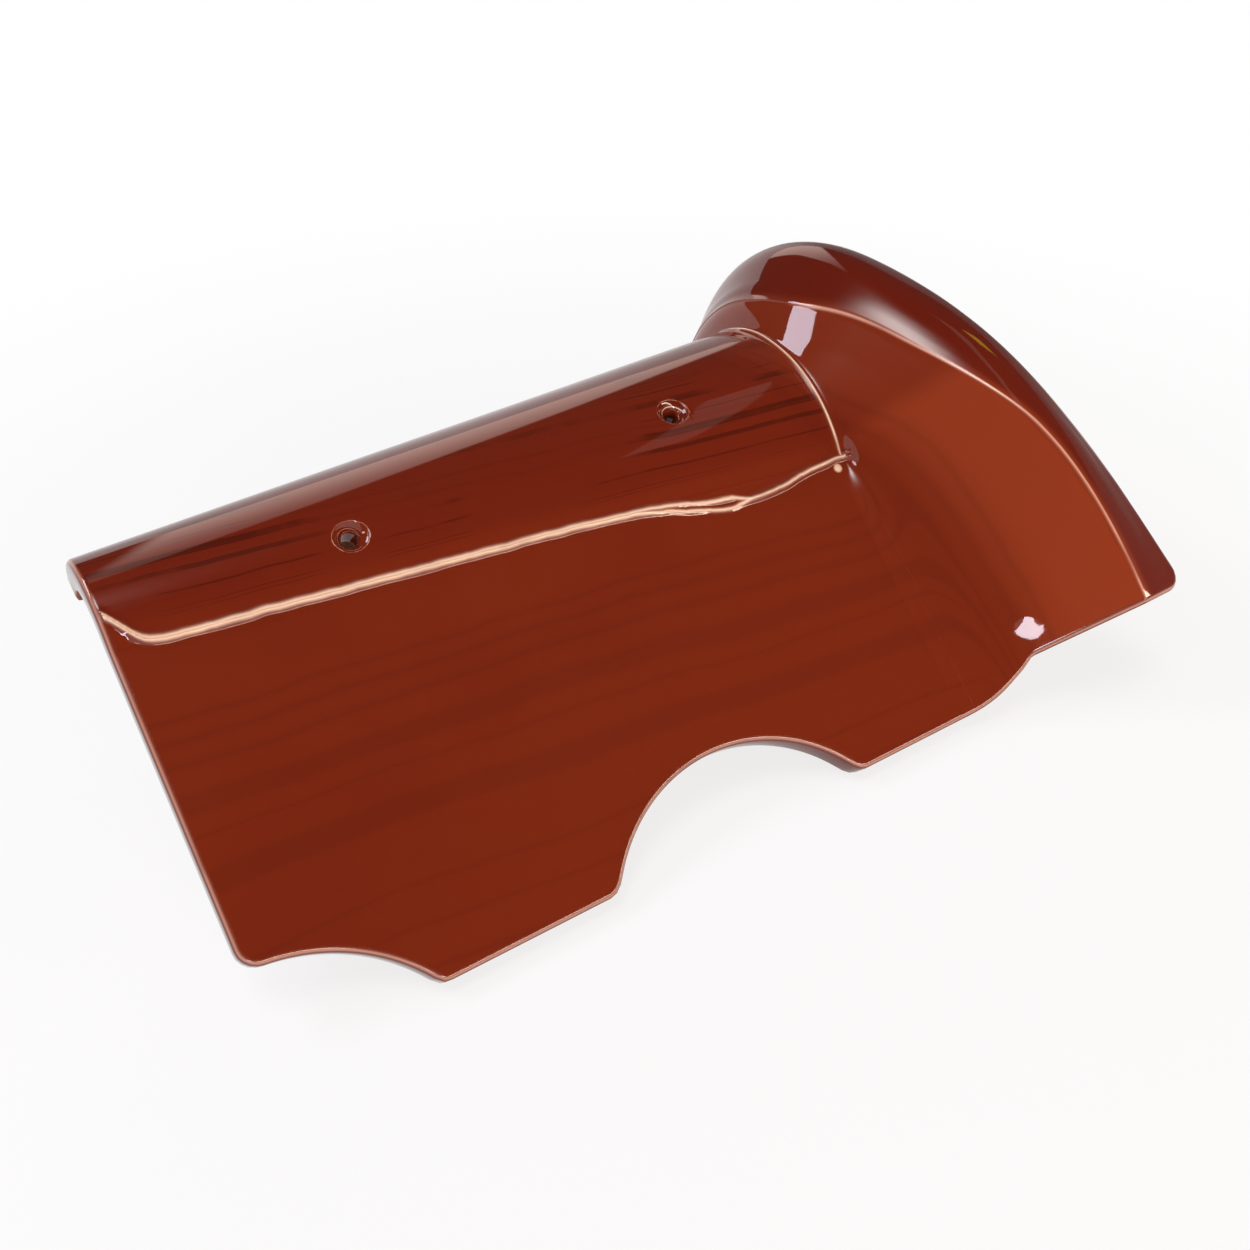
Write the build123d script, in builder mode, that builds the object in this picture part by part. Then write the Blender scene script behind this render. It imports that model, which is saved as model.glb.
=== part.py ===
import os
from math import cos, radians, sin, tan

from build123d import *

# One fired clay ridge tile: a flat apron, a tapered roll along its top and a hood at the right end.
# X runs along the roll, Y points up the roof and Z is up. Angles are in degrees.

# Shell
wall = 12
apron_slope = 40
tile_length = 428
overrun = 40

# Scalloped lower edge, which sits over the waves of the roof
wave_pitch = 200
arch_width = 126
arch_depth = 34
tab_corners = (3, 6, 9, 11)
left_corner = 8

# Roll: the radius and the run of the apron below it, at the left end and at the end of the roll
left_lip_run = 156.5
right_lip_run = 132.5
left_roll_radius = 33
right_roll_radius = 67.5
lip_angle = 67
leg_angle = 15

# Plain left end, which laps under the hood of the next tile: its back stops above the leg
lap_length = 26
lap_angle = 20

# Hood: it grows out of the roll and the apron, and its end is cut at a slant
hood_run = 108
hood_hem = 12
hem_width = 72
hem_run = 14
hem_corner = 10
end_slant = 11
front_rise = 44
middle_rise = 54
crest_rise = 30
front_bow = 16
middle_bow = 18

# Stations along the hood, and the share of each rise there
station_shares = (0, 0.1, 0.2, 0.3, 0.4, 0.51, 0.63, 0.75, 0.875, 1)
front_shares = (-0.14, -0.1, 0, 0.2, 0.45, 0.72, 0.92, 0.97, 0.95, 0.94)
middle_shares = (-0.11, 0.05, 0.29, 0.56, 0.81, 0.98, 1, 0.86, 0.68, 0.5)
crest_shares = (-0.2, 0.12, 0.52, 0.85, 1.09, 1, 0.76, 0.5, 0.25, 0)
kink_shares = (1, 0.95, 0.55, 0.23, 0.06, 0.06, 0.06, 0.06, 0.06, 0.06)
inner_shift_share = 0.5

# Nail holes: set back from the left end and from the end of the roll
nail_bore = 7
nail_sink = 14
nail_setbacks = (97, 77.5)
nail_angles = (53, 65.5)

# Curve handles, as shares of the chord they belong to
handle_share = 0.36
quarter_round_share = 0.5523

slope = radians(apron_slope)
lip_turn = radians(lip_angle)
leg_turn = radians(leg_angle)
lap_turn = radians(lap_angle)
slant = radians(end_slant)

hood_start = tile_length - hood_run
hood_length = hood_run + wall
roll_length = hood_start + wall
hem_start = tile_length - hem_width
nail_places = (nail_setbacks[0], roll_length - nail_setbacks[1])


def on_slope(along, above):
    # Y and Z of a point by the apron: along the slope from the tab line, and above its face
    y = along * cos(slope) - above * sin(slope)
    z = (wall + above) * cos(slope) + along * sin(slope)
    return Vector(y, z)


def roll_at(x, inset):
    # Radius of the roll, centre of its circle and run of the apron below it, at a place along X
    share = x / roll_length
    radius = left_roll_radius + (right_roll_radius - left_roll_radius) * share - inset
    run = left_lip_run + (right_lip_run - left_lip_run) * share + inset * cos(lip_turn)
    centre = on_slope(run + radius * cos(lip_turn), -inset - radius * sin(lip_turn))
    return radius, centre, run


def roll_axis(inset):
    # Axis of the roll from its left end, and how fast its radius grows along it
    left_radius, left_centre, left_run = roll_at(0, inset)
    right_radius, right_centre, right_run = roll_at(roll_length, inset)
    rise = right_centre - left_centre
    along = Vector(roll_length, rise.X, rise.Y)
    axis = Plane(origin=(0, left_centre.X, left_centre.Y), z_dir=along)
    return axis, (right_radius - left_radius) / along.length


def roll_tip(inset):
    # Point where the taper of the roll runs out, on the line that the apron's face makes with it
    share = (inset - left_roll_radius) / (right_roll_radius - left_roll_radius)
    radius, centre, run = roll_at(roll_length * share, inset)
    return Vector(roll_length * share, centre.X, centre.Y)


apron_head = left_lip_run + left_roll_radius * cos(lip_turn) / 2


def body_section(x, inset):
    # Section under the apron and in front of the leg, closed inside the roll
    radius, centre, run = roll_at(x, inset)
    foot = on_slope(-overrun, -inset)
    head = on_slope(apron_head, -inset)
    leg = centre.X + radius * cos(leg_turn)
    with BuildSketch(Plane.YZ.offset(x)) as face:
        with BuildLine():
            Polyline(foot, head, centre, (leg, centre.Y), (leg, -overrun), (foot.X, -overrun), close=True)
        make_face()
    return face.sketch


def body(inset):
    # Apron, tapered roll and back leg as one filled solid, longer than the tile at both ends
    axis, taper = roll_axis(inset)
    length = tile_length + 2 * overrun
    small_end = left_roll_radius - inset - taper * overrun
    with BuildPart() as filled:
        loft([body_section(-overrun, inset), body_section(tile_length + overrun, inset)], ruled=True)
        with Locations(axis.offset(-overrun)):
            Cone(
                small_end,
                small_end + taper * length,
                length,
                align=(Align.CENTER, Align.CENTER, Align.MIN),
            )
    return filled.part


def handle(angle, start, end):
    # Bezier handle at a given angle, with a length that follows the chord
    length = handle_share * (end - start).length
    return Vector(length * cos(radians(angle)), length * sin(radians(angle)))


def hood_section(x, inset, front, middle, crest, kink):
    # Filled section of the hood: bowed front, shoulder over the roll and rounded back
    radius, centre, run = roll_at(x, inset)
    foot = on_slope(-overrun, front - inset)
    lip = on_slope(run, middle - inset)
    top = centre + Vector(0, radius + crest)
    rear = centre + Vector(radius + crest, 0)
    foot_angle = apron_slope + front_bow * (1 - kink)
    lip_end_angle = apron_slope - middle_bow * (1 - kink)
    shoulder_angle = lip_end_angle + (90 - lip_angle) * kink
    with BuildSketch(Plane.YZ.offset(x)) as face:
        with BuildLine():
            Bezier(
                foot,
                foot + handle(foot_angle, foot, lip),
                lip - handle(lip_end_angle, foot, lip),
                lip,
            )
            Bezier(lip, lip + handle(shoulder_angle, lip, top), top - handle(0, lip, top), top)
            Bezier(
                top,
                top + Vector((rear - top).X * quarter_round_share, 0),
                rear + Vector(0, (top - rear).Y * quarter_round_share),
                rear,
            )
            Polyline(rear, (rear.X, -overrun), (foot.X, -overrun), foot)
        make_face()
    return face.sketch


def hood(inset):
    # The inner face starts later, so that the steep side of the hood keeps its thickness
    stations = zip(station_shares, front_shares, middle_shares, crest_shares, kink_shares)
    with BuildPart() as filled:
        loft(
            [
                hood_section(
                    hood_start + hood_length * station + inner_shift_share * inset * (1 - station),
                    inset,
                    front_rise * front,
                    middle_rise * middle,
                    crest_rise * crest,
                    kink,
                )
                for station, front, middle, crest, kink in stations
            ]
        )
    return filled.part


def lap_section(x):
    # Section behind the lap, under a line that leans back from the middle of the roll
    tip = roll_tip(0)
    taper_line = roll_tip(wall) - tip
    middle = tip + taper_line * ((x - tip.X) / taper_line.X)
    reach = 2 * right_roll_radius
    back = middle.Y + reach * cos(lap_turn)
    with BuildSketch(Plane.YZ.offset(x)) as face:
        with BuildLine():
            Polyline(
                (middle.Y, middle.Z),
                (back, middle.Z + reach * sin(lap_turn)),
                (back, -overrun),
                (middle.Y, -overrun),
                close=True,
            )
        make_face()
    return face.sketch


# Cutting plane on the face of the apron, with the tab line along its X axis
tab_line = on_slope(0, 0)
apron_face = Plane(origin=(0, tab_line.X, tab_line.Y), x_dir=(1, 0, 0), z_dir=(0, -sin(slope), cos(slope)))
arch_radius = (arch_width**2 / 4 + arch_depth**2) / (2 * arch_depth)
half_arch = arch_width / 2
tab_ends = (half_arch, wave_pitch - half_arch, wave_pitch + half_arch, hem_start - hem_run)
tab_widths = (tab_ends[1] - tab_ends[0], tab_ends[3] - tab_ends[2])

# Cutting plane at the right end, through the lower corner of the hood
hem_end = on_slope(hood_hem, front_rise)
end_face = Plane(origin=(tile_length, hem_end.X, 0), z_dir=(cos(slant), sin(slant), 0))

# Plane square to that corner, with the end of the hood along its Y axis and the hem at an angle to it
corner_face = Plane(
    origin=(tile_length, hem_end.X, hem_end.Y),
    x_dir=end_face.z_dir,
    z_dir=end_face.z_dir.cross(apron_face.y_dir),
)
corner_angle = end_face.z_dir.get_angle(apron_face.y_dir)
corner_top = Vector(0, hem_corner / tan(radians(corner_angle / 2)))
corner_end = corner_top.rotate(Axis.Z, corner_angle)

with BuildPart() as tile:
    add(body(0))
    add(hood(0))
    add(body(wall), mode=Mode.SUBTRACT)
    add(hood(wall), mode=Mode.SUBTRACT)

    # Square left end and slanted right end
    split(bisect_by=Plane.YZ, keep=Keep.TOP)
    split(bisect_by=end_face, keep=Keep.BOTTOM)

    # Lower edge: the tab line, two scallops, and the hem of the hood in place of the third
    with BuildSketch(apron_face):
        with Locations((tile_length / 2, 0)):
            Rectangle(tile_length + 2 * overrun, 2 * arch_radius, align=(Align.CENTER, Align.MAX))
        with Locations((0, arch_depth - arch_radius), (wave_pitch, arch_depth - arch_radius)):
            Circle(arch_radius)
        Rectangle(overrun, left_lip_run, align=(Align.MAX, Align.MIN))
        with BuildLine():
            Polyline(
                (hem_start - hem_run, 0),
                (hem_start, hood_hem),
                (tile_length + overrun, hood_hem),
                (tile_length + overrun, 0),
                close=True,
            )
        make_face()
        for end, (place, corner) in enumerate(zip(tab_ends, tab_corners)):
            fillet(
                vertices().sort_by_distance(Vector(place, 0))[0],
                radius=min(corner, tab_widths[end // 2] / 3),
            )
        fillet(vertices().sort_by_distance(Vector(0, arch_depth))[0], radius=left_corner)
    extrude(amount=3 * front_rise, both=True, mode=Mode.SUBTRACT)

    # Rounded lower corner of the hood
    with BuildSketch(corner_face):
        with BuildLine():
            Polyline(
                corner_top,
                corner_top + Vector(hem_corner, 0),
                (hem_corner, -hem_corner),
                corner_end - Vector(0, hem_corner),
                corner_end,
            )
            TangentArc(corner_top, corner_end, tangent=(0, -1))
        make_face()
    extrude(amount=2 * wall, both=True, mode=Mode.SUBTRACT)

    # One level for the tabs and the back leg
    split(bisect_by=Plane.XY, keep=Keep.TOP)

    # The back leg starts clear of the lap
    loft([lap_section(-overrun), lap_section(lap_length)], ruled=True, mode=Mode.SUBTRACT)

    # Countersunk nail holes, square to the roll
    for place, angle in zip(nail_places, nail_angles):
        radius, centre, run = roll_at(place, 0)
        outward = Vector(-cos(radians(angle)), sin(radians(angle)))
        seat = centre + outward * radius
        with Locations(
            Plane(origin=(place, seat.X, seat.Y), x_dir=(1, 0, 0), z_dir=(0, outward.X, outward.Y))
        ):
            CounterSinkHole(nail_bore / 2, nail_sink / 2, depth=2 * wall)

# The origin is under the middle of the tile, on the level it stands on
middle = tile.part.bounding_box().center()
with BuildPart() as ridge_tile:
    with Locations((-middle.X, -middle.Y, 0)):
        add(tile.part)
ridge_tile.part.label = "ridge_tile"

os.makedirs("parts", exist_ok=True)
export_step(ridge_tile.part, "parts/ridge_tile.step")
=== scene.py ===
import math
from functools import partial

import bpy
import bmesh
import numpy as np
from mathutils import Matrix, Vector
from mathutils.bvhtree import BVHTree


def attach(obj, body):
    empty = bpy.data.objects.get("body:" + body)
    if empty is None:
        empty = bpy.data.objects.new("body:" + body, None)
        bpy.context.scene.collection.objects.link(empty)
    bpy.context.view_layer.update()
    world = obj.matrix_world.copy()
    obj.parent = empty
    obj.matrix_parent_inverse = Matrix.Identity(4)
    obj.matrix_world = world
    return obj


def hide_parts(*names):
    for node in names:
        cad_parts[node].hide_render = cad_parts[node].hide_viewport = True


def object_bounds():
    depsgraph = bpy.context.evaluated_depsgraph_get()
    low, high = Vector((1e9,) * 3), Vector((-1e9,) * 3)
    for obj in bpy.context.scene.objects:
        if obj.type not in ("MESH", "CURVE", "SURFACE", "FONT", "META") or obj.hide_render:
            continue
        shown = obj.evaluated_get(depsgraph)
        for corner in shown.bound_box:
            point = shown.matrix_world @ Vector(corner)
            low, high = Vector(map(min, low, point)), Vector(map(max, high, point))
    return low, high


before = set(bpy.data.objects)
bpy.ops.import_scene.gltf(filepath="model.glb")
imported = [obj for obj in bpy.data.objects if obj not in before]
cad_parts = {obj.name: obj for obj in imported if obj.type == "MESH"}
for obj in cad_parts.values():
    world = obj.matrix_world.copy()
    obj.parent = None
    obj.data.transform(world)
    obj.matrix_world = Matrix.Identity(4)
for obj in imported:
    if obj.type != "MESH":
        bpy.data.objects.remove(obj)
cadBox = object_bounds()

print("frame loaded", [round(v, 4) for v in (*cadBox[0], *cadBox[1])])

mmPerM = 1000

tileSizes = {  # the tile's main sizes in mm and degrees, as in the solid
    "origin": (213.657, 120.837),
    "wall": 12.0,
    "slope": 40.0,
    "length": 428.0,
    "rollLength": 332.0,
    "rollEnd": 328.5,
    "lipRuns": (156.5, 132.5),
    "rollRadii": (33.0, 67.5),
    "lipAngle": 67.0,
    "legAngle": 15.0,
    "lapLength": 26.0,
    "lapAngle": 20.0,
    "hoodStart": 320.0,
    "endSlant": 11.0,
    "hemRise": 44.0,
    "hemAlong": 12.0,
    "hemStart": 356.0,
    "hemRun": 14.0,
    "hemEase": 3.0,
    "hemCorner": 10.0,
    "leftCorner": 8.0,
    "wavePitch": 200.0,
    "archWidth": 126.0,
    "archDepth": 34.0,
    "archEase": (2.0, 4.5),  # at the left and the right scallop
    "rimAtZero": 390.3,  # the rim of the hood crosses it from the crest down to the hem
    "rimLean": 0.318,
    "rimBow": 7.5,
    "rimMiddle": 70.0,
    "rimHalf": 90.0,
    "rimLeast": 338.0,
    "rimEase": 8.0,
}

skinGrid = {  # how the shell is gridded and rounded, in mm, or as counts of rows, columns and rounds
    "edgeRound": 2.4,
    "innerRound": 1.4,
    "edgeSteps": 4,
    "glazeRings": 2,  # how far the glaze runs past the rounded outer edge
    "columnStep": 2.2,
    "fineStep": 0.9,
    "afterStep": 1.4,
    "fineBefore": 10.0,  # stretches of finer columns before and after the roll's end, and beside the rim
    "fineAfter": 14.0,
    "fineRim": 4.0,
    "cornerSteps": 6,
    "leanRounds": 8,
    "apronRows": 44,
    "apronCrowd": 1.25,
    "lipRows": 48,
    "lipBand": 14.0,
    "rollRows": 46,
    "lapRows": 4,
    "legRows": 20,
    "farGap": 400.0,  # gap of points that are not on the outer face, and a limit just below it
    "outerGap": 390.0,
    "castFrom": 90.0,
    "castStep": 2.0,
    "castDeep": 60.0,
    "spikeWindow": 7,
    "spikeLimit": 1.2,
    "hoodBlur": 1.6,
    "lipBlur": 9,
    "lipReach": 11,
    "foldBack": 10,
    "foldReach": 14.0,
    "foldShare": 0.45,
    "foldBlur": 2.0,
    "foldFade": (165.0, 25.0),  # start and run up the rim, where the fold dies out
    "rimLift": 0.7,
    "bridgeReach": 28.0,
    "bridgeStart": 9.0,
    "bridgeStep": 5.0,
    "valleyBlur": 5.0,
    "valleyEase": 60,
    "valleyColumns": (-6, 16),
    "boxInset": 0.03,
    "sharpAngle": 40.0,  # degrees
}

hoodEase = {  # where the wrapping changes over at the hood: start and run, mm past its start or below the lip
    "plainEnd": -2.0,
    "blur": (-14.0, 10.0),
    "valley": (0.0, 12.0),
    "valleyEnd": (30.0, 16.0),
    "valleyDown": (0.0, 12.0),
    "easeDown": (6.0, 14.0),
    "sagEnd": (-8.0, 12.0),
}

seamShape = {  # sagging foot of the roll, the seam's curled left end, the bead's start at the right: mm
    "sag": 8.5,
    "sagPlace": 270.0,
    "sagReach": 38.0,
    "sagTop": 60.0,
    "curl": 14.0,
    "curlReach": 9.0,
    "endLow": -2.0,
}

slope = math.radians(tileSizes["slope"])
lipTurn = math.radians(tileSizes["lipAngle"])
slant = math.tan(math.radians(tileSizes["endSlant"]))
origin = np.array([*tileSizes["origin"], 0])


def onSlope(along, above):  # y and z by the apron's face
    y = along * math.cos(slope) - above * math.sin(slope)
    z = (tileSizes["wall"] + above) * math.cos(slope) + along * math.sin(slope)
    return y, z


def rollAt(x):  # radius, centre and run of the apron below the roll
    share = x / tileSizes["rollLength"]
    r0, r1 = tileSizes["rollRadii"]
    a0, a1 = tileSizes["lipRuns"]
    radius = r0 + (r1 - r0) * share
    run = a0 + (a1 - a0) * share
    cy, cz = onSlope(run + radius * math.cos(lipTurn), -radius * math.sin(lipTurn))
    return radius, cy, cz, run


def softMax(a, b, k):  # the larger of two, rounded where they cross
    return np.maximum(a, b) + np.maximum(k - np.abs(a - b), 0) ** 2 / (4 * k)


def smoothStep(t):
    t = np.clip(t, 0, 1)
    return t * t * (3 - 2 * t)


def ramp(value, start, run):  # 0 before the start, smoothly up to 1 after the run
    return smoothStep((value - start) / run)


def unit(vectors):
    return vectors / np.linalg.norm(vectors, axis=-1, keepdims=True)


def lowerEdge(x):  # tab line, two scallops and the hem of the hood
    width, depth = tileSizes["archWidth"], tileSizes["archDepth"]
    radius = (width**2 / 4 + depth**2) / (2 * depth)
    edge = np.zeros_like(x)
    for place, k in zip((0.0, tileSizes["wavePitch"]), tileSizes["archEase"]):
        reach = np.sqrt(np.maximum(radius**2 - (x - place) ** 2, 0))
        edge = softMax(edge, depth - radius + reach, k)
    start, rise = tileSizes["hemStart"], tileSizes["hemAlong"]
    step = (x - start) / tileSizes["hemRun"] * rise + rise
    return softMax(edge, np.minimum(step, rise), tileSizes["hemEase"])


def rimLine(y):  # x of the rim of the hood, and how fast it changes with y
    bend = (y - tileSizes["rimMiddle"]) / tileSizes["rimHalf"]
    x = tileSizes["rimAtZero"] - tileSizes["rimLean"] * y + tileSizes["rimBow"] * (1 - bend**2)
    turn = -tileSizes["rimLean"] - 2 * tileSizes["rimBow"] * bend / tileSizes["rimHalf"]
    least, ease = tileSizes["rimLeast"], tileSizes["rimEase"]
    return softMax(x, least + 0 * x, ease), turn * ramp(x, least - ease / 2, ease)


hemY = onSlope(tileSizes["hemAlong"], tileSizes["hemRise"])[0]
hemEnd = tileSizes["length"] - skinGrid["edgeRound"] / math.cos(math.radians(tileSizes["endSlant"]))
hemRim = float(rimLine(np.array(hemY))[0])


def columnPlaces():  # x of each column at the hem, finer at the roll's end, the rim and the corners
    e, step, fine = skinGrid["edgeRound"], skinGrid["columnStep"], skinGrid["fineStep"]
    lap, rollEnd, beside = tileSizes["lapLength"] + e, tileSizes["rollEnd"], skinGrid["fineRim"]
    turns = np.linspace(0, math.pi / 2, skinGrid["cornerSteps"])
    left = e + (tileSizes["leftCorner"] - e) * (1 - np.cos(turns))
    right = hemEnd - (tileSizes["hemCorner"] - e) * (1 - np.sin(turns))
    stops = [  # end of each stretch, and the step on the way to it
        (left[-1], 0),
        (lap, step),
        (rollEnd - skinGrid["fineBefore"], step),
        (rollEnd, fine),
        (rollEnd + skinGrid["fineAfter"], skinGrid["afterStep"]),
        (hemRim - beside, step),
        (hemRim, fine),
        (hemRim + beside, fine),
        (right[0], step),
    ]
    parts = [left]
    for (a, _), (b, gap) in zip(stops, stops[1:]):
        parts.append(np.linspace(a, b, max(2, round((b - a) / gap) + 1))[1:])
    columns = np.concatenate([*parts, right[1:]])
    marks = [int(np.argmin(np.abs(columns - place))) for place in (lap, rollEnd, hemRim)]
    return columns, marks


def leanColumns(columns, y):  # x and lean of each column at y: straight, then by the rim, then by the end
    first = tileSizes["rollEnd"]
    rim, rimTurn = rimLine(y)
    end = hemEnd - (y - hemY) * slant
    c = columns[:, None]
    s = np.clip((c - first) / (hemRim - first), 0, 1)
    t = np.clip((c - hemRim) / (hemEnd - hemRim), 0, 1)
    x = np.where(c <= hemRim, first + s * (rim - first), rim + t * (end - rim))
    lean = np.where(c <= hemRim, s * rimTurn, (1 - t) * rimTurn - t * slant)
    return np.where(c <= first, c + 0 * y, x), np.where(c <= first, 0 * y, lean)


def blurGrid(grid, sigma, axis):  # gaussian blur along one axis, edges held
    reach = int(math.ceil(3 * sigma))
    taps = np.exp(-0.5 * (np.arange(-reach, reach + 1) / sigma) ** 2)
    taps /= taps.sum()
    pad = [(0, 0)] * grid.ndim
    pad[axis] = (reach, reach)
    held = np.pad(grid, pad, mode="reflect", reflect_type="odd")
    out = np.zeros_like(grid)
    for k, tap in enumerate(taps):
        part = [slice(None)] * grid.ndim
        part[axis] = slice(k, k + grid.shape[axis])
        out += tap * held[tuple(part)]
    return out


def dropSpikes(grid, window, limit):  # holes in the wall give spikes: take the neighbours' middle value
    held = np.pad(grid, ((window, window), (0, 0)), mode="edge")
    stack = np.stack([held[k:k + len(grid)] for k in range(2 * window + 1)])
    middle = np.median(stack, axis=0)
    return np.where(np.abs(grid - middle) < limit, grid, middle)


def sectionRows():  # row places: kind and share along that stretch
    crowd = 1 - (1 - np.linspace(0, 1, skinGrid["apronRows"])) ** skinGrid["apronCrowd"]
    rows = [("apron", t) for t in crowd]
    lip = np.linspace(-1, 1, skinGrid["lipRows"] + 1)[1:-1]
    rows += [("lip", t) for t in lip]
    rows += [("roll", t) for t in np.linspace(0, 1, skinGrid["rollRows"])]
    rows += [("lap", t) for t in np.linspace(0, 1, skinGrid["lapRows"] + 1)[1:]]
    rows += [("leg", t) for t in np.linspace(0, 1, skinGrid["legRows"] + 1)[1:]]
    lipRow = skinGrid["apronRows"] + len(lip) // 2
    lapRow = skinGrid["apronRows"] + len(lip) + skinGrid["rollRows"] - 1
    return rows, lipRow, lapRow


def cornerRise(columns):  # how far the lower edge lifts at the two rounded end corners
    e = skinGrid["edgeRound"]
    left, right = tileSizes["leftCorner"] - e, tileSizes["hemCorner"] - e
    into = np.clip(left - (columns - e), 0, left)
    outTo = np.clip(columns - (hemEnd - right), 0, right)
    return left - np.sqrt(left**2 - into**2) + right - np.sqrt(right**2 - outTo**2)


def basePoints(x, rise, rows):  # plain apron, roll and leg, and the way each point is pushed out
    radius, cy, cz, run = rollAt(x)
    e, band = skinGrid["edgeRound"], skinGrid["lipBand"]
    top = math.radians(180 - tileSizes["lipAngle"] + tileSizes["slope"])
    lapEnd = math.radians(tileSizes["lapAngle"]) + e / radius
    legTop = math.radians(tileSizes["legAngle"])
    slopeWay = math.radians(90) + slope
    y, z, way = (np.zeros_like(x) for _ in range(3))
    gap = np.full_like(x, skinGrid["farGap"])
    for j, (kind, t) in enumerate(rows):
        r, yc, zc, a = radius[:, j], cy[:, j], cz[:, j], run[:, j]
        if kind == "leg":
            high = zc + r * math.sin(legTop)
            y[:, j] = yc + r * math.cos(legTop)
            z[:, j] = high + (e - high) * t
            way[:, j] = legTop * (1 - t)
            continue
        if kind == "apron":
            start = lowerEdge(x[:, j]) + e + rise
            gap[:, j] = (start + (a - band - start) * t) - a
        elif kind == "lip":
            gap[:, j] = band * t
        elif kind == "roll":
            gap[:, j] = band + ((top - lapEnd[:, j]) * r - band) * t
        else:
            gap[:, j] = (top - lapEnd[:, j] + (lapEnd[:, j] - legTop) * t) * r
        if gap[0, j] <= 0:
            y[:, j], z[:, j] = onSlope(a + gap[:, j], 0)
            way[:, j] = slopeWay
        else:
            turn = top - gap[:, j] / r
            y[:, j], z[:, j] = yc + r * np.cos(turn), zc + r * np.sin(turn)
            way[:, j] = legTop + (turn - legTop) * (slopeWay - legTop) / (top - legTop)
    return y, z, way, gap


def solidTree():  # the solid's own mesh, in mm, to wrap the skins on
    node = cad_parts["ridge_tile"].data
    node.calc_loop_triangles()
    points = [tuple(np.array(v.co) * mmPerM + origin) for v in node.vertices]
    return BVHTree.FromPolygons(points, [tuple(t.vertices) for t in node.loop_triangles])


def castSkins(base, push):  # how far the outer and the inner face lie from the base, along each push
    tree, far = solidTree(), skinGrid["castFrom"]
    high = np.full(base.shape[:2], np.nan)
    low = np.full(base.shape[:2], np.nan)
    for i, j in np.ndindex(high.shape):
        b, d = Vector(base[i, j]), Vector(push[i, j])
        n = d.normalized()
        hit = tree.ray_cast(b + d * far, -n, 2 * far)[0]
        if hit is None:
            continue
        high[i, j] = (hit - b).dot(n) / d.length
        back = tree.ray_cast(hit - n * skinGrid["castStep"], -n, skinGrid["castDeep"])[0]
        if back is not None:
            low[i, j] = (back - b).dot(n) / d.length
    for grid in (high, low):
        print("rays that missed", int(np.isnan(grid).sum()), "of", grid.size)
        for j in range(grid.shape[1]):  # fill from the nearest column in the row
            good = np.flatnonzero(~np.isnan(grid[:, j]))
            if len(good):
                grid[:, j] = np.interp(np.arange(len(grid)), good, grid[good, j])
            else:
                grid[:, j] = grid[:, j - 1]
    return high, low


def lowerHull(d, h):  # the straightest way up from the valley to the rim
    hull = [0]
    for k in range(1, len(d)):
        while len(hull) > 1:
            a, b = hull[-2:]
            if (h[b] - h[a]) * (d[k] - d[a]) < (h[k] - h[a]) * (d[b] - d[a]):
                break
            hull.pop()
        hull.append(k)
    return np.interp(d, d[hull], h[hull])


def foldRim(high, place, first, rimColumn):  # flat wing up to a crisp rim, and the band beyond it
    gap = place[:, :, 0] - place[rimColumn:rimColumn + 1, :, 0]
    folded = high.copy()
    wing = slice(first, rimColumn + 1)
    reach = np.minimum(skinGrid["foldReach"], skinGrid["foldShare"] * gap[-1])
    table = np.zeros((3, high.shape[1]))
    for j in range(high.shape[1]):
        folded[wing, j] = lowerHull(gap[wing, j], high[wing, j])
        ahead = np.interp((reach[j] - 1, reach[j], reach[j] + 1), gap[:, j], high[:, j])
        table[:, j] = (high[rimColumn, j] + skinGrid["rimLift"], ahead[1], (ahead[2] - ahead[0]) / 2)
    folded[wing] = blurGrid(folded[wing], skinGrid["foldBlur"], 1)
    peak, after, turn = blurGrid(table, skinGrid["foldBlur"], 1)
    lift = np.clip(1 + gap / skinGrid["foldReach"], 0, 1) * skinGrid["rimLift"]
    folded[wing] += lift[wing]
    bend = (peak - after + turn * reach) / reach**2
    band = after + turn * (gap - reach) + bend * (gap - reach) ** 2
    folded = np.where((gap > 0) & (gap < reach), band, folded)
    keep = 1 - ramp(place[rimColumn, :, 1], *skinGrid["foldFade"])
    return high + (folded - high) * keep, gap


def seamSag(x):  # how far the foot of the roll sags below its true line, by hand pressing
    return seamShape["sag"] * np.exp(-(((x - seamShape["sagPlace"]) / seamShape["sagReach"]) ** 2))


def sagFoot(x, gap, way):  # fill from the sagged foot, straight up to where it touches the roll
    radius = rollAt(x)[0]
    drop = seamSag(x)
    cu, cv = radius * math.cos(lipTurn), -radius * math.sin(lipTurn)
    far = np.hypot(cu + drop, cv)
    tilt = np.tan(np.arctan2(cv, cu + drop) + np.arcsin(np.minimum(radius / far, 1)))
    end = np.sqrt(np.maximum(far**2 - radius**2, 0)) / np.sqrt(1 + tilt**2) - drop
    turn = math.pi - lipTurn - np.maximum(gap, 0) / radius
    u = np.where(gap > 0, cu + radius * np.cos(turn), gap)
    v = np.where(gap > 0, cv + radius * np.sin(turn), 0)
    fill = ((u + drop) * tilt - v) / (np.sin(way - slope) - np.cos(way - slope) * tilt)
    inside = (u > -drop) & (u < end) & (gap < seamShape["sagTop"])
    return np.where(inside, np.maximum(fill, 0), 0)


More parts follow.
